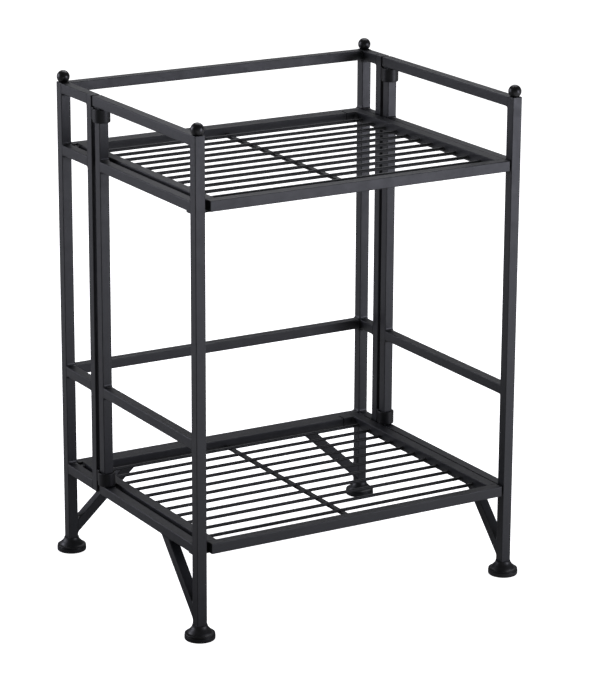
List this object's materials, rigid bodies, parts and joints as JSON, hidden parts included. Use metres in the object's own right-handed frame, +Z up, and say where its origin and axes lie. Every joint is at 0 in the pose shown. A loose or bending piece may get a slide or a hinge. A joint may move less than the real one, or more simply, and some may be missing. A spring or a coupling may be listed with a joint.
{
  "type": "folding side table",
  "caption": "Folding side table in square steel tube: slatted wire shelves between hinged side frames, with guard rails, diagonal foot braces, ball finials and round glides.",
  "frame": {"origin": "on the floor, at the middle of the bounding box seen from above", "axes": "+X to the right of someone facing the open front, +Y towards the rear frame, +Z up"},
  "size_m": [0.43, 0.349, 0.5715],
  "materials": {
    "frame_steel": "satin charcoal powder coat with a fine orange peel",
    "hinge_steel": "darker satin powder coat",
    "grille_wire": "satin charcoal powder coat on round wire",
    "finial_plastic": "black moulded plastic with a soft gloss",
    "glide_plastic": "black moulded plastic, slightly scuffed"
  },
  "bodies": {
    "back_frame": {"rear_post_left": "frame_steel", "rear_post_right": "frame_steel", "back_top_rail": "frame_steel", "back_upper_rail": "frame_steel", "back_mid_rail": "frame_steel", "back_lower_rail": "frame_steel", "back_brace_left": "frame_steel", "back_brace_right": "frame_steel", "stub_frame_left": "frame_steel", "stub_frame_right": "frame_steel", "hinge_collar_left_top": "hinge_steel", "hinge_collar_left_bottom": "hinge_steel", "finial_rear_left": "finial_plastic", "glide_rear_left": "glide_plastic", "pivot_pin_upper_left": "hinge_steel", "pivot_pin_lower_left": "hinge_steel", "hinge_collar_right_top": "hinge_steel", "hinge_collar_right_bottom": "hinge_steel", "finial_rear_right": "finial_plastic", "glide_rear_right": "glide_plastic", "pivot_pin_upper_right": "hinge_steel", "pivot_pin_lower_right": "hinge_steel"},
    "left_frame": {"left_front_post": "frame_steel", "left_hinge_tube": "frame_steel", "left_top_rail": "frame_steel", "left_upper_rail": "frame_steel", "left_mid_rail": "frame_steel", "left_lower_rail": "frame_steel", "left_brace": "frame_steel", "finial_front_left": "finial_plastic", "glide_front_left": "glide_plastic", "shelf_rest_left_upper": "hinge_steel", "shelf_rest_left_lower": "hinge_steel"},
    "right_frame": {"right_front_post": "frame_steel", "right_hinge_tube": "frame_steel", "right_top_rail": "frame_steel", "right_upper_rail": "frame_steel", "right_mid_rail": "frame_steel", "right_lower_rail": "frame_steel", "right_brace": "frame_steel", "finial_front_right": "finial_plastic", "glide_front_right": "glide_plastic", "shelf_rest_right_upper": "hinge_steel", "shelf_rest_right_lower": "hinge_steel"},
    "upper_shelf": {"upper_shelf_front_rail": "frame_steel", "upper_shelf_rear_rail": "frame_steel", "upper_shelf_side_left": "frame_steel", "upper_shelf_side_right": "frame_steel", "upper_shelf_grille": "grille_wire"},
    "lower_shelf": {"lower_shelf_front_rail": "frame_steel", "lower_shelf_rear_rail": "frame_steel", "lower_shelf_side_left": "frame_steel", "lower_shelf_side_right": "frame_steel", "lower_shelf_grille": "grille_wire"}
  },
  "joints": [
    {"name": "upper_shelf_fold", "type": "hinge", "parent": "back_frame", "child": "upper_shelf", "pos_m": [0, 0.142, 0.4828], "axis": [-1, 0, 0], "range_deg": [0, 88]},
    {"name": "lower_shelf_fold", "type": "hinge", "parent": "back_frame", "child": "lower_shelf", "pos_m": [0, 0.142, 0.1038], "axis": [-1, 0, 0], "range_deg": [0, 88]},
    {"name": "left_frame_swing", "type": "hinge", "parent": "back_frame", "child": "left_frame", "pos_m": [-0.198, 0.063, 0], "axis": [0, 0, -1], "range_deg": [0, 90]},
    {"name": "right_frame_swing", "type": "hinge", "parent": "back_frame", "child": "right_frame", "pos_m": [0.198, 0.0995, 0], "axis": [0, 0, 1], "range_deg": [0, 90]}
  ]
}
